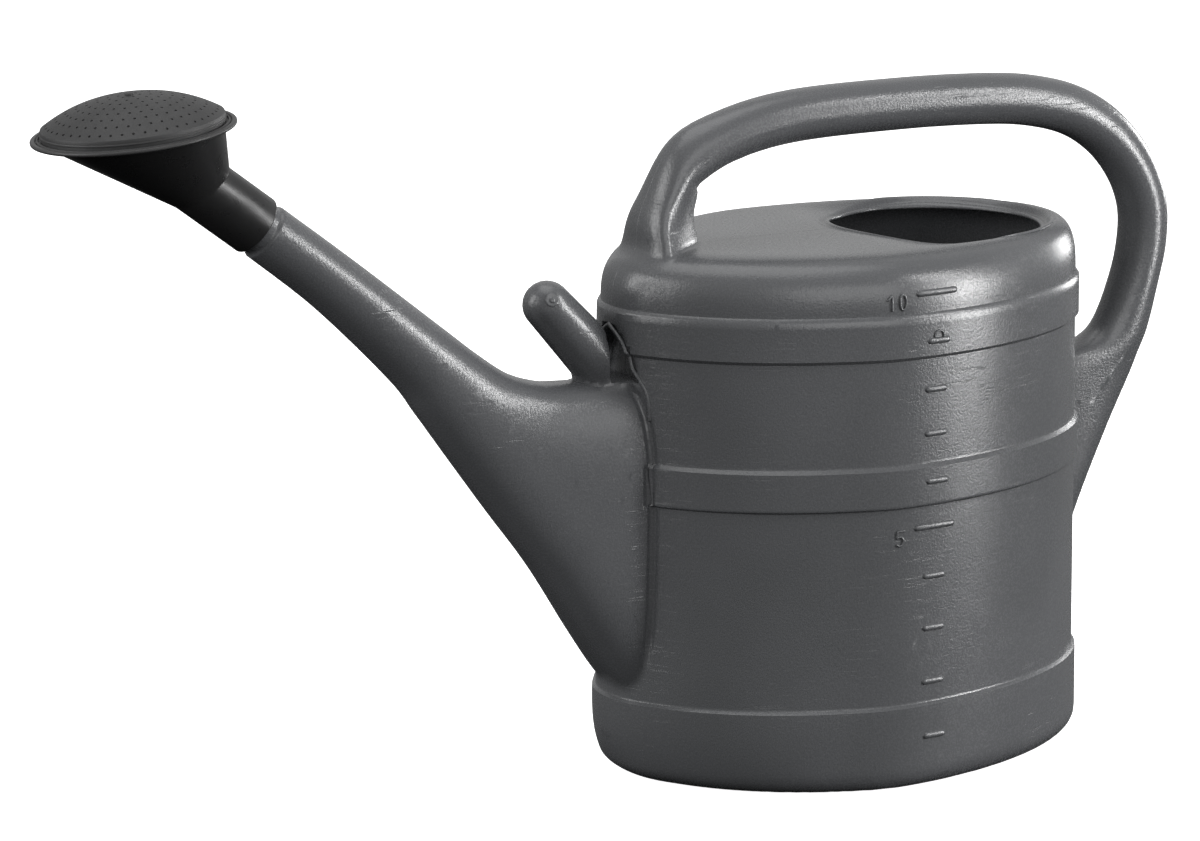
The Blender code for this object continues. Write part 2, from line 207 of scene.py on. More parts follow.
# The straight lines of each numeral, and its bows: (middle, half width and half height, from, to) in radians.
GLYPH_LINES = {
    "1": (((-0.22, 0.70), (0.05, 1.0), (0.05, 0.0)),),
    "5": (((0.30, 1.0), (-0.18, 1.0), (-0.22, 0.55)),),
}
GLYPH_BOWS = {
    "0": ((0.0, 0.5), (0.22, 0.5), 0.0, 6.5),
    "arch": ((0.0, 0.18), (0.35, 0.35), -1 / 3, 10 / 3, ARCH_STEPS),
    "5": ((-0.02, 0.31), (0.27, 0.31), 2.0, -7 / 3),
}
STROKE_PITCH = 0.0006
STROKE_SIDES = 12
STROKE_ENDS = ((0.22, 0.97), (0.60, 0.80), (0.89, 0.45), (1.0, 0.05))

# The rose.
ROSE_STEPS = 120
SOCKET_RADIUS = 0.01505
SOCKET_LENGTH = 0.0301
SOCKET_START = 0.006
SOCKET_EDGE = 0.0009
FUNNEL_TILT = 0.0100
FUNNEL_RINGS = 12
FUNNEL_START = 0.0012
FUNNEL_LIP = 0.0001
ROSE_RIM_CENTRE = Vector((-0.3906, 0, 0.3548))
ROSE_RIM_TILT = math.radians(6)
RIM_NORMAL = Vector((-math.sin(ROSE_RIM_TILT), 0, math.cos(ROSE_RIM_TILT)))
ROSE_RADIUS = 0.0483
RIM_LOW = -0.0008
RIM_TOP = 0.0012
RIM_WIDTH = 0.0026
RIM_OVERHANG = 0.0058
RIM_ROLL = 0.0009
PLATE_THICKNESS = 0.0016
DOME_RADIUS = 0.0430
DOME_FOOT = 0.0054
DOME_HEIGHT = 0.0120
DOME_POWER = 2.32
DOME_STEPS = 22
LEDGE_HEIGHT = 0.0002
# The edge of the face plate, inwards down the dome's wall and outwards over its flange: (radius, height).
FACE_EDGE = (
    (0.0432, 0.0048),
    (0.0432, 0.0036),
    (0.0435, 0.0032),
    (0.0435, 0.0028),
    (0.0431, 0.0025),
    (0.0431, 0.0004),
    (0.0441, 0.0004),
    (0.0443, 0.0012),
    (0.0445, 0.0014),
    (0.0450, 0.0013),
    (0.0454, 0.0009),
)
FIT_GAP = 0.0003
HOLE_RINGS = 8
HOLE_PITCH = 0.0050
HOLES_PER_RING = 6
HOLE_STEPS = 10
PIN_PROFILE = ((0, -0.02), (0.0007, -0.02), (0.0007, 0.03), (0, 0.03))
GATE_PROFILE = ((0, -0.001), (0.0021, -0.001), (0.0020, 0.0007), (0.0015, 0.0010), (0, 0.0010))

# The peg's bosses and the spout's tip.
BOSS_PLACE = (-0.1750, 0.2550)
BOSS_STEPS = 32
BOSS_PROFILE = (
    (0, -0.002),
    (0.0036, -0.002),
    (0.0034, 0.0001),
    (0.0029, 0.0004),
    (0.0017, 0.0003),
    (0.0012, 0.0007),
    (0.0007, 0.0009),
    (0, 0.0010),
)
SPIGOT_ROOT = 0.004
STEP_LENGTH = 0.0026
STEP_SINK = 0.00006
STEP_SHARES = (0.0, 0.15, 0.3, 0.45, 0.6, 0.75, 0.9, 1.0)
TIP_EDGE = 0.0006

# Finishes. A noise is (scale, detail), and a range of noise is where it starts and stops to show.
NOISE_RANGE = (0.3, 0.7)
CAN_DARK = (0.062, 0.064, 0.067, 1)
CAN_LIGHT = (0.074, 0.076, 0.080, 1)
CAN_ROUGHNESS = (0.21, 0.32)
CAN_SPECULAR = 0.5
CAN_TONE = (9.0, 3.0)
GRAIN = (900.0, 3.0)
GRAIN_STRENGTH = 0.35
GRAIN_DEPTH = 0.00035
WAVES = (38.0, 2.0)
WAVES_HEIGHT = 0.2
BRUSHED = (120.0, 4.0)
BRUSHED_STRETCH = (0.35, 0.35, 9.0)
BRUSHED_ROUGHNESS = 0.7
SCRATCH_RANGE = (0.60, 0.72)
SCRATCH_HEIGHT = -1.0
SCRATCH_ROUGHNESS = 0.10
PATCHES = (16.0, 2.0)
PATCH_RANGE = (0.45, 0.65)
SEAM_WIDTH = 0.0003
SEAM_HEIGHT = 0.8
ROSE_DARK = (0.0130, 0.0130, 0.0133, 1)
ROSE_LIGHT = (0.0160, 0.0160, 0.0164, 1)
ROSE_ROUGHNESS = (0.27, 0.35)
ROSE_SPECULAR = 0.28
ROSE_TONE = (14.0, 2.0)
ROSE_SMEARS = (160.0, 2.0)
ROSE_PEEL = (420.0, 2.0)
ROSE_PEEL_STRENGTH = 0.25
ROSE_PEEL_DEPTH = 0.00012
BEAD_ROUGHNESS = 0.45
FACE_DARK = (0.019, 0.019, 0.0194, 1)
FACE_LIGHT = (0.026, 0.026, 0.0265, 1)
FACE_ROUGHNESS = (0.51, 0.61)
FACE_SPECULAR = 0.35
FACE_TONE = (55.0, 3.0)
FACE_GRAIN = (1500.0, 3.0)
FACE_GRAIN_STRENGTH = 0.35
FACE_GRAIN_DEPTH = 0.00015

# The studio: (name, place, what it points at, width, height, watts).
WHITE = (1, 1, 1, 1)
SKY_FADE = (-0.5, 0.4)
SKY_STRENGTH = 0.54
GROUND_STRENGTH = 0.0
LIGHTS = (
    ("strip", (1.35, -1.30, 0.80), (0, 0, 0.25), 0.24, 1.9, 34.0),
    ("low_strip", (1.42, -1.38, 0.28), (0, 0, 0.25), 0.45, 0.9, 17.0),
    ("side", (1.62, 0.50, 0.40), (0, 0, 0.25), 0.45, 0.5, 9.0),
    ("backdrop", (1.2, 2.1, 1.35), (0, 0, 0.25), 2.6, 2.6, 5.6),
    ("overhead", (-0.2, 0.2, 2.2), (0, 0, 0.2), 1.6, 1.6, 16.0),
    ("left", (-2.0, 0.3, 0.9), (0, 0, 0.2), 1.4, 1.4, 33.0),
    ("near", (-0.2, -2.4, 1.0), (0, 0, 0.2), 2.0, 1.4, 19.0),
)
FLOOR_CORNERS = np.array([(-8.0, -8.0, 0.0), (8.0, -8.0, 0.0), (8.0, 8.0, 0.0), (-8.0, 8.0, 0.0)])
FLOOR_COLOUR = (0.85, 0.85, 0.85, 1)
FLOOR_ROUGHNESS = 0.9
FLOOR_GLOW = 0.92

# The camera.
CAMERA_PLACE = (-1.1567, -1.7811, 0.6715)
CAMERA_YAW = math.radians(29.679)
CAMERA_PITCH = math.radians(13.269)
CAMERA_LENS = 126.0
SENSOR_WIDTH = 36.0

# How finely the skins are meshed.
SECTIONS_BETWEEN = 11
TABLE_PITCH = 0.002
TABLE_MARGIN = 0.03
TABLE_BATCHES = 40
TABLE_END = 1.001
NEARNESS_WEIGHT = 0.3
SKIN_PITCH = 0.0031
FINE_PITCH = 0.0006
FINE_REACH = 1.5 * BAND_SLOPE
INSIDE_PITCH = 0.005
FINE_X = ((-0.142, -0.133, 0.0014), (-0.133, -0.118, 0.0009), (-0.118, -0.082, 0.0018))
FINE_Y = (
    (-0.031, -0.0235, 0.0009),
    (-0.0235, -0.011, 0.0016),
    (0.011, 0.0235, 0.0016),
    (0.0235, 0.031, 0.0009),
)
FINE_Z = ((0.264, 0.302, 0.0018),)
BORE_STEPS = 48
OUTLINE_DETAIL = 20
GRADIENT_STEP = 0.0002
TINY = 1e-6
STEEP = 0.2
LEAST_STEEPNESS = 0.05
WALL_SEARCHES = 12
LEAST_ACROSS = 0.2
LONGEST_SEARCH = 0.01
CORNER_CUTS = 3
CORNER_CUT = 0.25
SHARP_DEGREES = 32
RIM_SHARP_DEGREES = 60
SOFT_CREASE = 0.35
HARD_CREASE = 0.10
SHELL_LOW = (-0.358, -0.1000, -0.006)
SHELL_HIGH = (0.215, 0.1005, 0.355)
HOLLOW_LOW = (-0.358, -0.1000, -0.003)
HOLLOW_HIGH = (0.150, 0.1005, 0.325)
PROJECTIONS = 4


def smooth_step(low, high, value):
    share = np.clip((value - low) / (high - low), 0, 1)
    return share * share * (3 - 2 * share)


def rounded_power(value, power, crease):
    """value to that power, but squared below about crease if the power is under 2: that rounds the crease."""
    return value ** np.where(power < 2, 2 + (power - 2) * smooth_step(0, crease, value), power)


def superellipse(along, across, reach, half_width, power, crease=SOFT_CREASE):
    """Nearly the distance of each point from a superellipse, negative inside it."""
    a = np.maximum(np.abs(along) / reach, TINY)
    b = np.maximum(np.abs(across) / half_width, TINY)
    gauge = (rounded_power(a, power, crease) + rounded_power(b, power, crease)) ** (1 / power)
    slope = np.hypot(a ** (power - 1) / reach, b ** (power - 1) / half_width) * gauge ** (1 - power)
    return (gauge - 1) / slope


def smooth_union(first, second, radius):
    """The lower of two distances, with a fillet of about that radius where they meet."""
    mix = np.clip(0.5 + 0.5 * (second - first) / radius, 0, 1)
    return second + (first - second) * mix - radius * mix * (1 - mix)


def tank_side(x, y, z, bands=True):
    """Distance outside the tank's side wall, with or without its raised bands."""
    scale = 1 + TANK_TAPER * (TAPER_ZERO_Z - z)
    toe = TOE_DEPTH * np.clip(1 - z / TOE_HEIGHT, 0, 1) ** TOE_POWER
    along = x - TANK_WIDEST_X
    front = (TANK_HALF_LENGTH + TANK_WIDEST_X) * scale - toe
    rear = (TANK_HALF_LENGTH - TANK_WIDEST_X) * scale
    reach = np.where(along < 0, front, rear)
    power = np.where(along < 0, TANK_FRONT_POWER, TANK_REAR_POWER)
    side = superellipse(along, y, reach, TANK_HALF_WIDTH * scale, power)
    for low, high in BAND_HEIGHTS if bands else ():
        rising = smooth_step(low - BAND_SLOPE / 2, low + BAND_SLOPE / 2, z)
        side = side - BAND_PROUD * rising * smooth_step(high + BAND_SLOPE / 2, high - BAND_SLOPE / 2, z)
    return side


def mouth_side(x, y):
    """Distance outside the mouth's outline, seen from above."""
    along = x - MOUTH_WIDEST_X
    reach = np.where(along < 0, MOUTH_WIDEST_X - MOUTH_FRONT_X, MOUTH_REAR_X - MOUTH_WIDEST_X)
    power = np.where(along < 0, MOUTH_FRONT_POWER, MOUTH_REAR_POWER)
    return superellipse(along, y, reach, MOUTH_HALF_WIDTH, power)


def inset_at(x, front_inset, rear_inset):
    """How far in from the tank's side: front_inset as far as its widest line, then less towards the rear."""
    rearward = np.clip((x - TANK_WIDEST_X) / TANK_HALF_LENGTH, 0, 1)
    return front_inset - (front_inset - rear_inset) * rearward**2


def height_over_mouth(x, y, side):
    """The height of the tank's top: flat at its crest, and dished towards the mouth."""
    from_mouth = np.maximum(mouth_side(x, y), 0)
    from_crest = np.maximum(-side - inset_at(x, MOUTH_CREST_INSET, MOUTH_CREST_REAR_INSET), 0)
    share = from_mouth / np.maximum(from_mouth + from_crest, TINY)
    dish = MOUTH_DISH * smooth_step(MOUTH_DISH_START, MOUTH_DISH_START + MOUTH_DISH_LENGTH, x)
    return TOP_Z - dish * (1 - smooth_step(0, 1, share))


def tank(x, y, z, bands=True):
    """The tank with its rounded base, its rolled shoulder and the shallow dish round its mouth."""
    side = tank_side(x, y, z, bands)
    inset = inset_at(x, SHOULDER_INSET, SHOULDER_REAR_INSET)
    height = height_over_mouth(x, y, side) - SHOULDER_Z
    outward = np.maximum(side / inset + 1, 0)
    upward = np.maximum((z - SHOULDER_Z) / height, 0)
    turned = (outward**SHOULDER_POWER + upward**SHOULDER_POWER) ** (1 / SHOULDER_POWER) - 1
    weight = upward**2 / np.maximum(upward**2 + outward**2, TINY)
    upper = turned * (inset + (height - inset) * weight)
    low_out = np.maximum(side / BASE_ROUNDING + 1, 0)
    low_down = np.maximum(1 - z / BASE_ROUNDING, 0)
    lower = BASE_ROUNDING * (np.hypot(low_out, low_down) - 1)
    return np.maximum(upper, lower)


def dense_sections(sections):
    """Rows on a Catmull-Rom curve: inner x and z, outer x and z, half width, power, inner power and lean."""
    rows = []
    for inner, outer, half_width, power, *rest in sections:
        rear_power, lean = rest or (power, 0.0)
        rows.append((*inner, *outer, half_width, power, rear_power, lean))
    rows = np.array(rows)
    count = len(rows)
    made = []
    for i in range(count - 1):
        p0, p1, p2, p3 = (rows[min(max(i + k, 0), count - 1)] for k in (-1, 0, 1, 2))
        for step in range(SECTIONS_BETWEEN + 1):
            t = step / (SECTIONS_BETWEEN + 1)
            bend, twist = 2 * p0 - 5 * p1 + 4 * p2 - p3, 3 * p1 - p0 - 3 * p2 + p3
            made.append(0.5 * (2 * p1 + (p2 - p0) * t + bend * t * t + twist * t**3))
    made.append(rows[-1])
    return np.array(made)


def hoop_sections():
    points = [Vector((x, 0, z)) for x, z in HOOP_PATH]
    sections = []
    for i, point in enumerate(points):
        along = (points[min(i + 1, len(points) - 1)] - points[max(i - 1, 0)]).normalized()
        outward = Vector((-along.z, 0, along.x)) * HOOP_RADIUS
        inner, outer = point - outward, point + outward
        sections.append(((inner.x, inner.z), (outer.x, outer.z), HOOP_RADIUS, 2.0))
    return sections


class Loft:
    """A shape through sections across the plane Y = 0, looked up in tables over that plane."""

    def __init__(self, sections, crease):
        self.crease = crease
        rows = dense_sections(sections)
        inner, outer = rows[:, 0:2], rows[:, 2:4]
        middle = (inner + outer) / 2
        reach = np.linalg.norm(outer - inner, axis=1) / 2
        across = (outer - inner) / (2 * reach[:, None])
        normal = np.stack([-across[:, 1], across[:, 0]], 1)
        forward = np.sign((normal[:-1] * (middle[1:] - middle[:-1])).sum())
        normal = normal * forward
        low = np.minimum(inner, outer).min(0) - TABLE_MARGIN
        high = np.maximum(inner, outer).max(0) + TABLE_MARGIN
        self.low = low
        self.shape = np.ceil((high - low) / TABLE_PITCH).astype(int) + 1
        grid = np.stack(np.meshgrid(*[np.arange(n) for n in self.shape], indexing="ij"), -1)
        points = low + grid.reshape(-1, 2) * TABLE_PITCH
        tables = []
        for part in np.array_split(points, TABLE_BATCHES):
            offset = part[:, None, :] - middle[None]
            plane = (offset * normal[None]).sum(-1)
            distance = np.linalg.norm(offset, axis=-1)
            nearest = np.argmin(np.abs(plane) + NEARNESS_WEIGHT * distance, axis=1)
            one = np.arange(len(part))
            ahead = np.where(plane[one, nearest] > 0, 1, -1)
            other = np.clip(nearest + ahead, 0, len(rows) - 1)
            here, there = plane[one, nearest], plane[one, other]
            crosses = (here * there < 0) & (other != nearest)
            share = np.where(crosses, here / np.where(crosses, here - there, 1), 0)
            mixed_middle = middle[nearest] + (middle[other] - middle[nearest]) * share[:, None]
            mixed_across = across[nearest] + (across[other] - across[nearest]) * share[:, None]
            values = np.column_stack([reach, rows[:, 4:]])
            mixed = values[nearest] + (values[other] - values[nearest]) * share[:, None]
            along = ((part - mixed_middle) * mixed_across).sum(-1)
            beyond = np.where(crosses, -1.0, np.where(nearest == 0, -here, here))
            beyond = np.where((nearest > 0) & (nearest < len(rows) - 1), -1.0, beyond)
            tables.append(np.column_stack([along, mixed, beyond]))
        self.table = np.concatenate(tables).reshape(*self.shape, -1)

    def __call__(self, x, y, z):
        place_x = np.clip((x - self.low[0]) / TABLE_PITCH, 0, self.shape[0] - TABLE_END)
        place_z = np.clip((z - self.low[1]) / TABLE_PITCH, 0, self.shape[1] - TABLE_END)
        i, k = place_x.astype(int), place_z.astype(int)
        s, t = (place_x - i)[..., None], (place_z - k)[..., None]
        table = self.table
        found = (table[i, k] * (1 - s) + table[i + 1, k] * s) * (1 - t)
        found = found + (table[i, k + 1] * (1 - s) + table[i + 1, k + 1] * s) * t
        along, reach, half_width, power, inner_power, lean, beyond = np.moveaxis(found, -1, 0)
        along = along - lean * reach
        reach = reach * np.where(along > 0, 1 - lean, 1 + lean)
        power = np.where(along > 0, power, inner_power)
        return np.maximum(superellipse(along, y, reach, half_width, power, self.crease), beyond)


def peg(x, y, z):
    """A tapered stub with a round end."""
    root, tip = np.array(PEG_ROOT), np.array(PEG_TIP)
    length = np.linalg.norm(tip - root)
    direction = (tip - root) / length
    share = ((x - root[0]) * direction[0] + (z - root[2]) * direction[2]) / length
    share = np.clip(share, 0, 1)
    radius = PEG_ROOT_RADIUS + (PEG_TIP_RADIUS - PEG_ROOT_RADIUS) * share
    middle_x, middle_z = root[0] + (tip - root)[0] * share, root[2] + (tip - root)[2] * share
    return np.sqrt((x - middle_x) ** 2 + y**2 + (z - middle_z) ** 2) - radius


def surface_net(axes, value):
    """Points and quads of the surface where value is 0, over a grid of points at those axes."""
    shape = np.array(value.shape)
    cell_ids, places, quads = [], [], []
    for axis in range(3):
        low = [slice(None)] * 3
        high = [slice(None)] * 3
        low[axis], high[axis] = slice(0, -1), slice(1, None)
        index = np.argwhere((value[tuple(low)] < 0) != (value[tuple(high)] < 0))
        following = index.copy()
        following[:, axis] += 1
        before, after = value[tuple(index.T)], value[tuple(following.T)]
        place = np.stack([axes[k][index[:, k]] for k in range(3)], 1)
        step = axes[axis][following[:, axis]] - axes[axis][index[:, axis]]
        place[:, axis] += before / (before - after) * step
        corners = []
        for back_u, back_v in ((0, 0), (1, 0), (1, 1), (0, 1)):
            cell = index.copy()
            cell[:, (axis + 1) % 3] -= back_u
            cell[:, (axis + 2) % 3] -= back_v
            corners.append(np.ravel_multi_index(cell.T, shape))
        quad = np.stack(corners, 1)
        cell_ids.append(quad.ravel())
        places.append(np.repeat(place, 4, axis=0))
        quads.append(np.where((before < 0)[:, None], quad, quad[:, ::-1]))
    used, index = np.unique(np.concatenate(cell_ids), return_inverse=True)
    index = index.reshape(-1)
    places = np.concatenate(places)
    count = np.bincount(index)
    points = np.stack([np.bincount(index, places[:, k]) / count for k in range(3)], 1)
    return points, np.searchsorted(used, np.concatenate(quads))


def gradient(field, points):
    """(value, gradient) of a field at points."""
    x, y, z = points.T
    h = GRADIENT_STEP
    slope = np.stack(
        [
            field(x + h, y, z) - field(x - h, y, z),
            field(x, y + h, z) - field(x, y - h, z),
            field(x, y, z + h) - field(x, y, z - h),
        ],
        1,
    ) / (2 * h)
    return field(x, y, z), slope


def settle(field, guide, points, longest_step):
    """Points moved onto the surface where the field is 0, along the slope of a smoother guide field."""
    for _ in range(PROJECTIONS):
        value = field(*points.T)
        _, slope = gradient(guide, points)
        steepness = np.maximum((slope**2).sum(1), LEAST_STEEPNESS)
        move = -(value / steepness)[:, None] * slope
        length = np.linalg.norm(move, axis=1, keepdims=True)
        points = points + move * np.minimum(1, longest_step / np.maximum(length, TINY))
    return points


def spaced(low, high, pitch, fine=()):
    """Coordinates from low to high at that pitch, and at its own within each (from, to, pitch) of fine."""
    made = [low]
    while made[-1] < high:
        here = made[-1]
        made.append(here + next((closer for a, b, closer in fine if a <= here < b), pitch))
    return np.array(made)


def mesh_object(name, points, faces):
    mesh = bpy.data.meshes.new(name)
    mesh.from_pydata([tuple(p) for p in points.tolist()], [], faces.tolist())
    mesh.update()
    made = bpy.data.objects.new(name, mesh)
    bpy.context.scene.collection.objects.link(made)
    for polygon in mesh.polygons:
        polygon.use_smooth = True
    return made


def pocket(x, y, z):
    """The arched recess in the tank's front behind the peg, negative inside it."""
    arch = superellipse(z - POCKET_MIDDLE_Z, y, POCKET_RISE, POCKET_HALF_WIDTH, POCKET_POWER)
    depth = np.maximum(x - POCKET_BACK_X, POCKET_FRONT_X - x)
    return np.maximum(arch, np.maximum(POCKET_FLOOR_Z - z, depth))


def shell_field(x, y, z, bands=True):
    """The can's outside: tank, handle, spout and peg run into each other."""
    wall, spout = tank(x, y, z, bands), SPOUT(x, y, z)
    can = smooth_union(wall, spout, SPOUT_FILLET)
    groove = GROOVE_DEPTH * smooth_step(*GROOVE_END, z)
    can = can + groove * np.exp(-(wall**2 + spout**2) / GROOVE_WIDTH**2)
    can = smooth_union(can, HANDLE(x, y, z), FOOT_FILLET)
    can = smooth_union(can, peg(x, y, z), PEG_FILLET)
    return -smooth_union(-can, pocket(x, y, z), POCKET_FILLET)


def plain_field(x, y, z):
    """The can's outside without its bands, whose slope keeps rows of points level across a band's edge."""
    return shell_field(x, y, z, bands=False)


def hollow_field(x, y, z):
    """The space inside the tank and the spout, clear of the recess and of the groove at the spout's root."""
    wall, spout = tank(x, y, z, bands=False), SPOUT(x, y, z)
    inside = np.maximum(smooth_union(wall, spout, SPOUT_FILLET), RELIEF_DEPTH - pocket(x, y, z))
    return inside + WALL + RELIEF_DEPTH * np.exp(-(wall**2 + spout**2) / RELIEF_WIDTH**2)


def field_mesh(name, field, guide, low, high, pitch, fine=((), (), ())):
    """A field's surface, meshed over a smoother guide and then moved onto it; steep walls keep level rows."""
    axes = [spaced(low[k], high[k], pitch, fine[k]) for k in range(3)]
    points, quads = surface_net(axes, guide(*np.meshgrid(*axes, indexing="ij")))
    _, slope = gradient(guide, points)
    steep = np.abs(slope[:, 2]) < STEEP * np.linalg.norm(slope, axis=1)
    row = np.clip(np.searchsorted(axes[2], points[:, 2]), 1, len(axes[2]) - 1)
    points[steep, 2] = ((axes[2][row - 1] + axes[2][row]) / 2)[steep]
    return mesh_object(name, settle(field, guide, points, pitch / 3), quads)


def cut(target, cutter):
    """Takes the cutter out of the target for good."""
    modifier = target.modifiers.new(cutter.name, "BOOLEAN")
    modifier.operation = "DIFFERENCE"
    modifier.solver = "MANIFOLD"
    modifier.object = cutter
    bpy.context.view_layer.objects.active = target
    bpy.ops.object.modifier_apply(modifier=modifier.name)
    bpy.data.objects.remove(cutter, do_unlink=True)


def ring_mesh(name, rings, is_tube=False):
    """A closed mesh through rings of equal length, capped at both ends or joined end to end."""
    rings = [np.asarray(ring, float) for ring in rings]
    count = len(rings[0])
    points = np.concatenate(rings)
    spots = np.arange(count)
    following = (spots + 1) % count
    last = len(rings) if is_tube else len(rings) - 1
    faces = []
    for i in range(last):
        here, there = i * count, (i + 1) % len(rings) * count
        faces += np.stack([here + spots, here + following, there + following, there + spots], 1).tolist()
    if not is_tube:
        faces.append(spots[::-1].tolist())
        faces.append((spots + (len(rings) - 1) * count).tolist())
    mesh = bpy.data.meshes.new(name)
    mesh.from_pydata(points.tolist(), [], faces)
    made = bpy.data.objects.new(name, mesh)
    bpy.context.scene.collection.objects.link(made)
    work = bmesh.new()
    work.from_mesh(mesh)
    bmesh.ops.recalc_face_normals(work, faces=work.faces)
    work.to_mesh(mesh)
    work.free()
    for polygon in mesh.polygons:
        polygon.use_smooth = True
    return made


def join(name, objects):
    """One object from several."""
    work = bmesh.new()
    for obj in objects:
        work.from_mesh(obj.data)
        bpy.data.objects.remove(obj, do_unlink=True)
    mesh = bpy.data.meshes.new(name)
    work.to_mesh(mesh)
    work.free()
    made = bpy.data.objects.new(name, mesh)
    bpy.context.scene.collection.objects.link(made)
    return made


def finish_piece(obj, body, material, sharp_degrees=SHARP_DEGREES):
    obj.data.materials.clear()
    obj.data.materials.append(material)
    for polygon in obj.data.polygons:
        polygon.use_smooth = True
    obj.data.set_sharp_from_angle(angle=math.radians(sharp_degrees))
    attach(obj, body)


def mouth_outline(steps):
    """Evenly spaced points and outward normals along the mouth's edge, seen from above."""
    angle = np.linspace(0, 2 * np.pi, OUTLINE_DETAIL * steps + 1)
    c, s = np.cos(angle), np.sin(angle)
    power = np.where(c < 0, MOUTH_FRONT_POWER, MOUTH_REAR_POWER)
    reach = np.where(c < 0, MOUTH_WIDEST_X - MOUTH_FRONT_X, MOUTH_REAR_X - MOUTH_WIDEST_X)
    x = MOUTH_WIDEST_X + reach * np.sign(c) * np.abs(c) ** (2 / power)
    y = MOUTH_HALF_WIDTH * np.sign(s) * np.abs(s) ** (2 / power)
    run = np.concatenate([[0], np.cumsum(np.hypot(np.diff(x), np.diff(y)))])
    even = np.linspace(0, run[-1], steps + 1)[:-1]
    x, y = np.interp(even, run, x), np.interp(even, run, y)
    for _ in range(MOUTH_SMOOTHING):
        x = (np.roll(x, 1) + 2 * x + np.roll(x, -1)) / 4
        y = (np.roll(y, 1) + 2 * y + np.roll(y, -1)) / 4
    along_x, along_y = np.roll(x, -1) - np.roll(x, 1), np.roll(y, -1) - np.roll(y, 1)
    length = np.hypot(along_x, along_y)
    return x, y, along_y / length, -along_x / length


def mouth_rings(profile):
    """Rings along the mouth's edge: each (outwards from the edge, above the tank's top) of the profile."""
    x, y, out_x, out_y = mouth_outline(MOUTH_STEPS)
    rings = []
    for outwards, up in profile:
        here_x, here_y = x + out_x * outwards, y + out_y * outwards
        side = tank_side(here_x, here_y, np.full_like(here_x, SHOULDER_Z))
        rings.append(np.column_stack([here_x, here_y, height_over_mouth(here_x, here_y, side) + up]))
    return rings


def make_can_shell():
    """One wall all round: the outside, less the hollow inside, the mouth and the spout's bore."""
    edges = [height for pair in BAND_HEIGHTS for height in pair if height > 0]
    near_edges = [(edge - FINE_REACH, edge + FINE_REACH, FINE_PITCH) for edge in edges]
    fine = (FINE_X, FINE_Y, sorted([*near_edges, *FINE_Z]))
    shell = field_mesh("can_shell", shell_field, plain_field, SHELL_LOW, SHELL_HIGH, SKIN_PITCH, fine)
    hollow = field_mesh("hollow", hollow_field, hollow_field, HOLLOW_LOW, HOLLOW_HIGH, INSIDE_PITCH)
    x, y, out_x, out_y = mouth_outline(MOUTH_STEPS)
    x, y = x + out_x * RIM_CUT, y + out_y * RIM_CUT
    levels = [np.column_stack([x, y, np.full_like(x, TOP_Z + offset)]) for offset in (-MOUTH_CUT, MOUTH_CUT)]
    bore_ends = ((-TIP_CUT, BORE_RADIUS), (TIP_CUT, BORE_RADIUS))
    bore = round_rings(SPOUT_SHOULDER, SPOUT_AXIS, bore_ends, BORE_STEPS)
    beyond_ends = ((0, 2 * SPOUT_RADIUS), (TIP_CUT, 2 * SPOUT_RADIUS))
    beyond = round_rings(SPOUT_SHOULDER, SPOUT_AXIS, beyond_ends, BORE_STEPS)
    cut(shell, hollow)
    for name, rings in (("mouth_cutter", levels), ("bore_cutter", bore), ("tip_cutter", beyond)):
        cut(shell, ring_mesh(name, rings))
    return shell


def round_rings(start, direction, stations, steps):
    """Rings square to a direction in the plane Y = 0, at each (distance from start, radius)."""
    direction = np.array(direction)
    across = np.array([direction[2], 0, -direction[0]])
    angle = 2 * np.pi * (np.arange(steps) + 0.5) / steps
    spokes = np.cos(angle)[:, None] * across + np.sin(angle)[:, None] * np.array([0, 1, 0])
    return [np.array(start) + direction * distance + spokes * radius for distance, radius in stations]


def on_wall(points, axis, field):
    """Points moved along one axis onto a field's surface, and the outward normals there."""
    points = points.copy()
    for _ in range(WALL_SEARCHES):
        value, slope = gradient(field, points)
        steep = slope[:, axis]
        steep = np.where(np.abs(steep) < LEAST_ACROSS, LEAST_ACROSS * np.where(steep < 0, -1, 1), steep)
        points[:, axis] -= np.clip(value / steep, -LONGEST_SEARCH, LONGEST_SEARCH)
    _, slope = gradient(field, points)
    return points, slope / np.linalg.norm(slope, axis=1, keepdims=True)


def resampled(points, pitch):
    points = np.asarray(points, float)
    run = np.concatenate([[0], np.cumsum(np.linalg.norm(np.diff(points, axis=0), axis=1))])
    even = np.linspace(0, run[-1], max(int(run[-1] / pitch), 2) + 1)
    return np.column_stack([np.interp(even, run, points[:, k]) for k in range(points.shape[1])])


def rounded(points):
    """The same path with its corners cut."""
    points = np.asarray(points, float)
    for _ in range(CORNER_CUTS):
        step = (points[1:] - points[:-1]) * CORNER_CUT
        near, far = points[:-1] + step, points[1:] - step
        points = np.vstack([points[:1], np.stack([near, far], 1).reshape(-1, 3), points[-1:]])
    return points


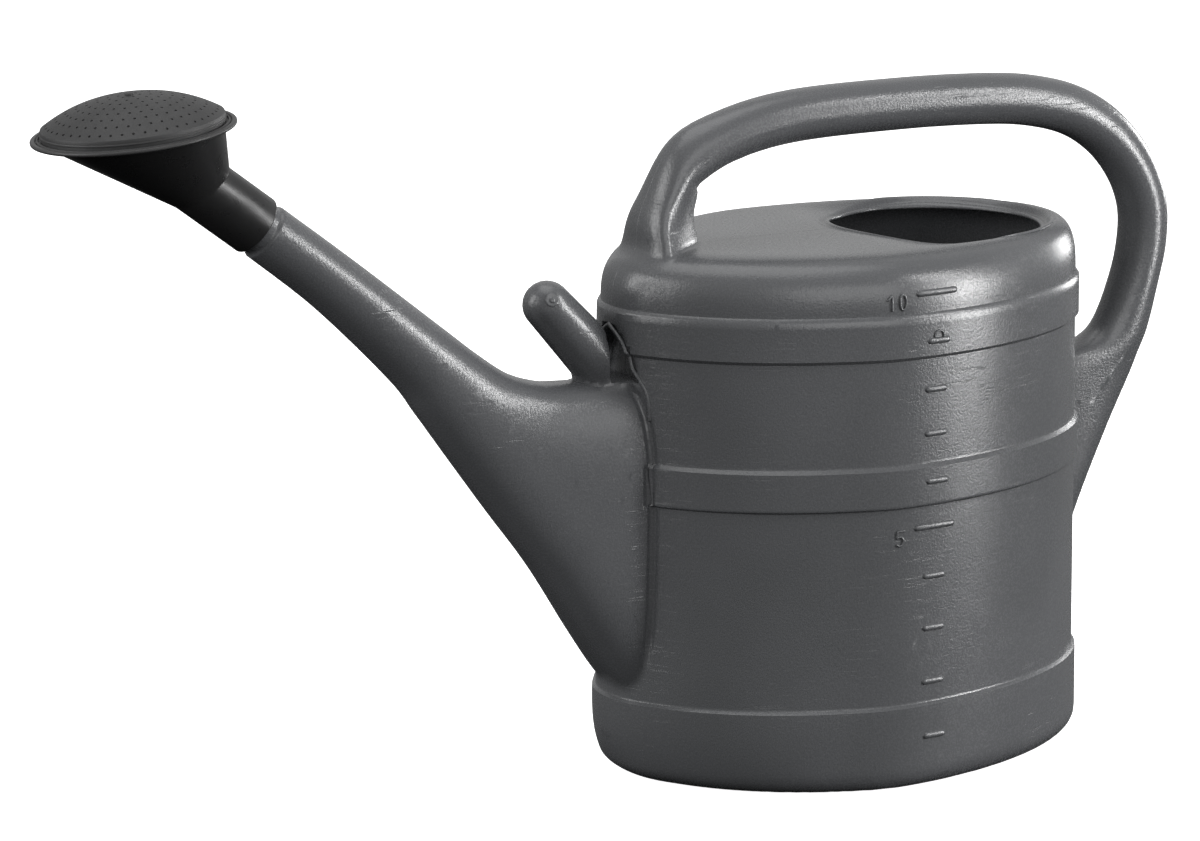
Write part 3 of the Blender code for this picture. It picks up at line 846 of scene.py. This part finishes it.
def wall_stroke(points, axis, radius, lift, field):
    """A raised line along points near a wall, round in section and at its ends."""
    centres, normals = on_wall(resampled(points, STROKE_PITCH), axis, field)
    centres = centres + normals * lift
    tangents = np.gradient(centres, axis=0)
    tangents /= np.linalg.norm(tangents, axis=1, keepdims=True)
    across = np.cross(tangents, normals)
    across /= np.linalg.norm(across, axis=1, keepdims=True)
    normals = np.cross(across, tangents)
    angle = 2 * np.pi * np.arange(STROKE_SIDES) / STROKE_SIDES
    last = len(centres) - 1
    stations = [(0, -reach, share) for reach, share in STROKE_ENDS[::-1]]
    stations += [(i, 0.0, 1.0) for i in range(last + 1)]
    stations += [(last, reach, share) for reach, share in STROKE_ENDS]
    rings = []
    for i, ahead, share in stations:
        spokes = np.cos(angle)[:, None] * across[i] + np.sin(angle)[:, None] * normals[i]
        rings.append(centres[i] + tangents[i] * ahead * radius + spokes * radius * share)
    return ring_mesh("stroke", rings)


def near_side(x, z):
    return (x, -TANK_HALF_WIDTH, z)


def bow(middle, reach, start, end, steps=BOW_STEPS):
    """Points along a bowed line of a numeral, between two angles."""
    angles = [start + (end - start) * i / steps for i in range(steps + 1)]
    return [(middle[0] + reach[0] * math.cos(a), middle[1] + reach[1] * math.sin(a)) for a in angles]


def make_scale():
    """The litre scale on the near side: a bar for each litre, and numerals at 5 and 10."""
    strokes = []
    for litre, z in enumerate(LITRE_HEIGHTS, start=1):
        half = LONG_BAR / 2 if litre % 5 == 0 else SHORT_BAR / 2
        bar = [near_side(SCALE_X - half + BAR_RADIUS, z), near_side(SCALE_X + half - BAR_RADIUS, z)]
        strokes.append(wall_stroke(bar, 1, BAR_RADIUS, BAR_LIFT, shell_field))
    for glyph, x, z in NUMERALS:
        bows = [bow(*GLYPH_BOWS[glyph])] if glyph in GLYPH_BOWS else []
        for line in [*GLYPH_LINES.get(glyph, ()), *bows]:
            path = [near_side(x + u * NUMERAL_HEIGHT, z + v * NUMERAL_HEIGHT) for u, v in line]
            strokes.append(wall_stroke(path, 1, NUMERAL_RADIUS, NUMERAL_LIFT, shell_field))
    return join("litre_scale", strokes)


def make_arch_ridge():
    """The raised line that outlines the arched recess behind the peg, mirrored on both sides."""
    ridges = []
    for side in (-1, 1):
        path = rounded([(-TANK_HALF_LENGTH, side * across, z) for across, z in ARCH_RIDGE])
        ridges.append(wall_stroke(path, 0, RIDGE_RADIUS, RIDGE_LIFT, tank))
    return join("arch_ridge", ridges)


def make_peg_bosses():
    """The small round bosses on each side of the peg's tip that hold the parked rose."""
    bosses = []
    for side in (-1, 1):
        x, z = BOSS_PLACE
        spot, normal = on_wall(np.array([[x, side * PEG_TIP_RADIUS, z]]), 1, shell_field)
        turn = Vector(normal[0]).to_track_quat("Z", "Y").to_matrix().to_4x4()
        boss = turned("boss", BOSS_PROFILE, BOSS_STEPS)
        boss.data.transform(Matrix.Translation(Vector(spot[0])) @ turn)
        bosses.append(boss)
    return join("peg_bosses", bosses)


def turned(name, profile, steps):
    """A solid turned about Z, from a profile of (radius, z) that ends on the axis or closes on itself."""
    profile = np.array(profile, float)
    open_profile = profile[0][0] < TINY
    inner = profile[1:-1] if open_profile else profile
    angle = 2 * np.pi * np.arange(steps) / steps
    circle = np.column_stack([np.cos(angle), np.sin(angle)])
    rings = [np.column_stack([circle * radius, np.full(steps, z)]) for radius, z in inner]
    return ring_mesh(name, rings, is_tube=not open_profile)


def make_spout_tip():
    """The thinner spigot that the rose pushes onto, open at its end, and the step at its root."""
    bore = SPIGOT_RADIUS - WALL
    edge = TIP_EDGE
    root = SPOUT_RADIUS - STEP_SINK
    drop = root - SPIGOT_RADIUS
    step = [(STEP_LENGTH * share, root - drop * smooth_step(0, 1, share)) for share in STEP_SHARES]
    stations = (
        (-SPIGOT_ROOT, bore),
        (-SPIGOT_ROOT, root),
        *step,
        (SPIGOT_LENGTH - edge, SPIGOT_RADIUS),
        (SPIGOT_LENGTH, SPIGOT_RADIUS - edge),
        (SPIGOT_LENGTH, bore),
    )
    return ring_mesh("spout_tip", round_rings(SPOUT_SHOULDER, SPOUT_AXIS, stations, ROSE_STEPS), is_tube=True)


def arc(centre_distance, centre_radius, size, start, end, steps=5):
    """(distance, radius) points round a quarter circle, between two angles in degrees."""
    angles = [math.radians(start + (end - start) * i / steps) for i in range(steps + 1)]
    return [(centre_distance + size * math.sin(a), centre_radius + size * math.cos(a)) for a in angles]


def make_funnel():
    """The rose's body: a socket that widens into a funnel with a rolled rim, hollow throughout."""
    bore = SPIGOT_RADIUS + FIT_GAP
    top = SOCKET_START + SOCKET_LENGTH
    seat = ROSE_RADIUS - RIM_WIDTH
    roll, edge = RIM_ROLL, SOCKET_EDGE
    outside = arc(SOCKET_START + edge, SOCKET_RADIUS - edge, edge, -90, 0)
    outside += [(SOCKET_START + SOCKET_LENGTH / 2, SOCKET_RADIUS)]
    rings = round_rings(SPOUT_SHOULDER, SPOUT_AXIS, outside, ROSE_STEPS)
    for back, radius in ((FUNNEL_START, SOCKET_RADIUS), (0, SOCKET_RADIUS + FUNNEL_LIP)):
        rings.append(tilted_ring(top - back, radius))
    low = rings[-1]
    rim = [(RIM_LOW, ROSE_RADIUS - RIM_OVERHANG)]
    rim += arc(RIM_LOW + roll, ROSE_RADIUS - roll, roll, -90, 0)
    rim += arc(RIM_TOP - roll, ROSE_RADIUS - roll, roll, 0, 90)
    rim += [(RIM_TOP, seat + roll / 2), (RIM_TOP - roll / 2, seat), (LEDGE_HEIGHT, seat)]
    rim += [(LEDGE_HEIGHT, ROSE_RADIUS - RIM_OVERHANG - WALL)]
    rim_rings = round_rings(ROSE_RIM_CENTRE, RIM_NORMAL, rim, ROSE_STEPS)
    high = rim_rings[0]
    for i in range(1, FUNNEL_RINGS):
        share = i / FUNNEL_RINGS
        rings.append(low + (high - low) * share)
    rings += rim_rings
    socket_inside = (
        (top, bore - WALL),
        (SPIGOT_LENGTH + FIT_GAP, bore - WALL),
        (SPIGOT_LENGTH + FIT_GAP, bore),
        (SOCKET_START + edge / 2, bore),
        (SOCKET_START, bore + edge / 2),
    )
    rings += round_rings(SPOUT_SHOULDER, SPOUT_AXIS, socket_inside, ROSE_STEPS)
    return ring_mesh("rose_body", rings, is_tube=True)


def tilted_ring(distance, radius):
    """A ring round the socket that sits higher on its upper side, where the funnel starts sooner."""
    rings = round_rings(SPOUT_SHOULDER, SPOUT_AXIS, ((distance, radius), (distance + 1, radius)), ROSE_STEPS)
    angle = 2 * np.pi * (np.arange(ROSE_STEPS) + 0.5) / ROSE_STEPS
    shift = FUNNEL_TILT * (1 - np.cos(angle)) / 2
    return rings[0] + (rings[1] - rings[0]) * shift[:, None]


def make_face():
    """The domed face plate with its rings of spray holes and its gate mark."""
    foot = LEDGE_HEIGHT + FIT_GAP
    shares = np.linspace(0, 1, DOME_STEPS + 1)
    outside = [(DOME_RADIUS * t, DOME_FOOT + DOME_HEIGHT * (1 - t**DOME_POWER)) for t in shares]
    inner_radius = DOME_RADIUS - PLATE_THICKNESS
    inner_foot = DOME_FOOT - PLATE_THICKNESS
    inside = [(inner_radius * t, inner_foot + DOME_HEIGHT * (1 - t**DOME_POWER)) for t in shares[::-1]]
    edge = [*FACE_EDGE, (FACE_EDGE[-1][0], foot), (inner_radius, foot)]
    face = turned("rose_plate", outside + edge + inside, ROSE_STEPS)
    pins = []
    for ring in range(HOLE_RINGS + 1):
        count = max(ring * HOLES_PER_RING, 1)
        for i in range(count):
            angle = 2 * math.pi * (i + 0.5 * (ring % 2)) / count
            spot = Vector((math.cos(angle), math.sin(angle), 0)) * ring * HOLE_PITCH
            pin = turned("pin", PIN_PROFILE, HOLE_STEPS)
            pin.data.transform(Matrix.Translation(spot))
            pins.append(pin)
    cut(face, join("pins", pins))
    gate = turned("gate", GATE_PROFILE, BOSS_STEPS)
    gate.data.transform(Matrix.Translation((0, 0, DOME_FOOT + DOME_HEIGHT)))
    face = join("rose_plate", [face, gate])
    place = Matrix.Translation(ROSE_RIM_CENTRE) @ Matrix.Rotation(-ROSE_RIM_TILT, 4, "Y")
    face.data.transform(place)
    return face


class Nodes:
    """Short names for building one material's nodes."""

    def __init__(self, name):
        self.material = bpy.data.materials.new(name)
        self.material.use_nodes = True
        self.tree = self.material.node_tree
        self.shader = self.tree.nodes["Principled BSDF"]
        self.place = self.add("ShaderNodeTexCoord").outputs["Object"]

    def add(self, kind, **settings):
        node = self.tree.nodes.new(kind)
        for name, value in settings.items():
            setattr(node, name, value)
        return node

    def link(self, value, socket):
        if isinstance(value, (int, float, tuple)):
            socket.default_value = value
        else:
            self.tree.links.new(value, socket)

    def maths(self, operation, *values):
        node = self.add("ShaderNodeMath", operation=operation)
        for i, value in enumerate(values):
            self.link(value, node.inputs[i])
        return node.outputs[0]

    def noise(self, scale, detail, stretch=(1, 1, 1), roughness=0.5):
        mapping = self.add("ShaderNodeMapping")
        self.link(self.place, mapping.inputs["Vector"])
        mapping.inputs["Scale"].default_value = stretch
        node = self.add("ShaderNodeTexNoise")
        self.link(mapping.outputs["Vector"], node.inputs["Vector"])
        node.inputs["Scale"].default_value = scale
        node.inputs["Detail"].default_value = detail
        node.inputs["Roughness"].default_value = roughness
        return node.outputs["Fac"]

    def spread(self, value, low, high, to_low=0.0, to_high=1.0):
        node = self.add("ShaderNodeMapRange", interpolation_type="SMOOTHSTEP")
        sockets = ("Value", "From Min", "From Max", "To Min", "To Max")
        for socket, given in zip(sockets, (value, low, high, to_low, to_high)):
            self.link(given, node.inputs[socket])
        return node.outputs["Result"]

    def mix(self, share, first, second):
        node = self.add("ShaderNodeMix", data_type="RGBA")
        self.link(share, node.inputs[0])
        self.link(first, node.inputs[6])
        self.link(second, node.inputs[7])
        return node.outputs[2]

    def bump(self, height, strength, distance):
        node = self.add("ShaderNodeBump")
        node.inputs["Strength"].default_value = strength
        node.inputs["Distance"].default_value = distance
        self.link(height, node.inputs["Height"])
        self.link(node.outputs["Normal"], self.shader.inputs["Normal"])

    def from_middle(self):
        """Distance from the plane Y = 0."""
        split = self.add("ShaderNodeSeparateXYZ")
        self.link(self.place, split.inputs[0])
        return self.maths("ABSOLUTE", split.outputs["Y"])


def can_material():
    """Satin anthracite polyethylene: a fine moulded grain, faint brushed scratches and a parting line."""
    nodes = Nodes("can_plastic")
    grain = nodes.noise(*GRAIN)
    waves = nodes.noise(*WAVES)
    brushed = nodes.noise(*BRUSHED, BRUSHED_STRETCH, BRUSHED_ROUGHNESS)
    patches = nodes.spread(nodes.noise(*PATCHES), *PATCH_RANGE)
    scratch = nodes.maths("MULTIPLY", nodes.spread(brushed, *SCRATCH_RANGE), patches)
    tone = nodes.spread(nodes.noise(*CAN_TONE), *NOISE_RANGE)
    nodes.link(nodes.mix(tone, CAN_DARK, CAN_LIGHT), nodes.shader.inputs["Base Color"])
    rough = nodes.spread(grain, *NOISE_RANGE, *CAN_ROUGHNESS)
    rough = nodes.maths("ADD", rough, nodes.maths("MULTIPLY", scratch, SCRATCH_ROUGHNESS))
    nodes.link(rough, nodes.shader.inputs["Roughness"])
    seam = nodes.spread(nodes.from_middle(), 0.0, SEAM_WIDTH, 1.0, 0.0)
    height = nodes.maths("ADD", grain, nodes.maths("MULTIPLY", waves, WAVES_HEIGHT))
    height = nodes.maths("ADD", height, nodes.maths("MULTIPLY", scratch, SCRATCH_HEIGHT))
    height = nodes.maths("ADD", height, nodes.maths("MULTIPLY", seam, SEAM_HEIGHT))
    nodes.bump(height, GRAIN_STRENGTH, GRAIN_DEPTH)
    nodes.shader.inputs["Specular IOR Level"].default_value = CAN_SPECULAR
    return nodes.material


def rose_material():
    """Glossy black plastic with a slight orange peel; the rolled bead of its rim is matte, and its upper part
    is painted the face's light grey, partly as a painted sheen.
    """
    nodes = Nodes("rose_plastic")
    tone = nodes.spread(nodes.noise(*ROSE_TONE), *NOISE_RANGE)
    gloss = nodes.mix(tone, ROSE_DARK, ROSE_LIGHT)
    rise = nodes.add("ShaderNodeVectorMath", operation="DOT_PRODUCT")
    nodes.link(nodes.place, rise.inputs[0])
    nodes.link(tuple(RIM_NORMAL), rise.inputs[1])
    rim_low = ROSE_RIM_CENTRE.dot(RIM_NORMAL) + RIM_LOW
    # Band of the rim from a little above its lowest edge upwards. It is made rougher for the bead's matte
    # finish, and painted the face plate's light grey: partly that matte finish, partly a painted sheen
    # standing in for the brighter reflection on the bead's top.
    bead_matte_and_painted_sheen = nodes.spread(rise.outputs["Value"], rim_low + RIM_ROLL / 3, rim_low + RIM_ROLL)
    nodes.link(nodes.mix(bead_matte_and_painted_sheen, gloss, FACE_LIGHT), nodes.shader.inputs["Base Color"])
    rough = nodes.spread(nodes.noise(*ROSE_SMEARS), *NOISE_RANGE, *ROSE_ROUGHNESS)
    rough = nodes.maths("MAXIMUM", rough, nodes.maths("MULTIPLY", bead_matte_and_painted_sheen, BEAD_ROUGHNESS))
    nodes.link(rough, nodes.shader.inputs["Roughness"])
    nodes.bump(nodes.noise(*ROSE_PEEL), ROSE_PEEL_STRENGTH, ROSE_PEEL_DEPTH)
    nodes.shader.inputs["Specular IOR Level"].default_value = ROSE_SPECULAR
    return nodes.material


def face_material():
    """Matte dark grey plastic with a fine spark-eroded grain."""
    nodes = Nodes("face_plastic")
    grain = nodes.noise(*FACE_GRAIN)
    tone = nodes.spread(nodes.noise(*FACE_TONE), *NOISE_RANGE)
    nodes.link(nodes.mix(tone, FACE_DARK, FACE_LIGHT), nodes.shader.inputs["Base Color"])
    nodes.link(nodes.spread(grain, *NOISE_RANGE, *FACE_ROUGHNESS), nodes.shader.inputs["Roughness"])
    nodes.bump(grain, FACE_GRAIN_STRENGTH, FACE_GRAIN_DEPTH)
    nodes.shader.inputs["Specular IOR Level"].default_value = FACE_SPECULAR
    return nodes.material


def soft_light(name, place, target, width, height, power):
    data = bpy.data.lights.new(name, "AREA")
    data.shape = "RECTANGLE"
    data.size = width
    data.size_y = height
    data.energy = power
    light = bpy.data.objects.new(name, data)
    bpy.context.scene.collection.objects.link(light)
    light.location = place
    light.rotation_euler = (Vector(target) - Vector(place)).to_track_quat("-Z", "Y").to_euler()


def make_world():
    """A white sky that fades out below the horizon."""
    world = bpy.data.worlds.new("studio")
    world.use_nodes = True
    nodes, links = world.node_tree.nodes, world.node_tree.links
    background = nodes["Background"]
    background.inputs["Color"].default_value = WHITE
    place = nodes.new("ShaderNodeTexCoord")
    split = nodes.new("ShaderNodeSeparateXYZ")
    links.new(place.outputs["Generated"], split.inputs[0])
    fade = nodes.new("ShaderNodeMapRange")
    links.new(split.outputs["Z"], fade.inputs["Value"])
    fade.inputs["From Min"].default_value, fade.inputs["From Max"].default_value = SKY_FADE
    fade.inputs["To Min"].default_value = GROUND_STRENGTH
    fade.inputs["To Max"].default_value = SKY_STRENGTH
    links.new(fade.outputs["Result"], background.inputs["Strength"])
    bpy.context.scene.world = world
    bpy.context.scene.view_settings.view_transform = "Standard"


def make_floor():
    """A pale floor that throws no light or reflection onto the can."""
    floor = mesh_object("floor", FLOOR_CORNERS, np.array([[0, 1, 2, 3]]))
    material = bpy.data.materials.new("floor")
    material.use_nodes = True
    shader = material.node_tree.nodes["Principled BSDF"]
    shader.inputs["Base Color"].default_value = FLOOR_COLOUR
    shader.inputs["Roughness"].default_value = FLOOR_ROUGHNESS
    shader.inputs["Specular IOR Level"].default_value = 0.0
    shader.inputs["Emission Color"].default_value = WHITE
    shader.inputs["Emission Strength"].default_value = FLOOR_GLOW
    floor.data.materials.append(material)
    floor.visible_glossy = False
    floor.visible_diffuse = False


def make_camera():
    data = bpy.data.cameras.new("camera")
    data.lens = CAMERA_LENS
    data.sensor_width = SENSOR_WIDTH
    camera = bpy.data.objects.new("camera", data)
    bpy.context.scene.collection.objects.link(camera)
    camera.location = CAMERA_PLACE
    camera.rotation_euler = (math.radians(90) - CAMERA_PITCH, 0, -CAMERA_YAW)
    bpy.context.scene.camera = camera


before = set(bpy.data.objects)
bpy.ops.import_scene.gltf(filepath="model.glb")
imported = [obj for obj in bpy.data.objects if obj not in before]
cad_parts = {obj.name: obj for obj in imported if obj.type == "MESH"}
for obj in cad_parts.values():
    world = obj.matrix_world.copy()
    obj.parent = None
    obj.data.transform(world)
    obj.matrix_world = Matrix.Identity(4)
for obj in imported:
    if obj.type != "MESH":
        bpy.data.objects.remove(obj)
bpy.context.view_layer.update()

SPOUT = Loft(SPOUT_SECTIONS, SOFT_CREASE)
HANDLE = Loft(FOOT_SECTIONS + tuple(hoop_sections()) + WEB_SECTIONS, HARD_CREASE)

can_plastic = can_material()
shell = make_can_shell()
finish_piece(shell, "can", can_plastic)
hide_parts("can_body")
mouth_rim = ring_mesh("mouth_rim", mouth_rings(RIM_PROFILE), is_tube=True)
finish_piece(mouth_rim, "can", can_plastic, RIM_SHARP_DEGREES)
finish_piece(make_scale(), "can", can_plastic)
finish_piece(make_arch_ridge(), "can", can_plastic)
finish_piece(make_peg_bosses(), "can", can_plastic)
finish_piece(make_spout_tip(), "can", can_plastic)

rose_body = make_funnel()
finish_piece(rose_body, "rose", rose_material())
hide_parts("rose_funnel")
rose_plate = make_face()
finish_piece(rose_plate, "rose", face_material())
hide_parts("rose_face")

make_world()
for light_row in LIGHTS:
    soft_light(*light_row)
make_floor()
make_camera()
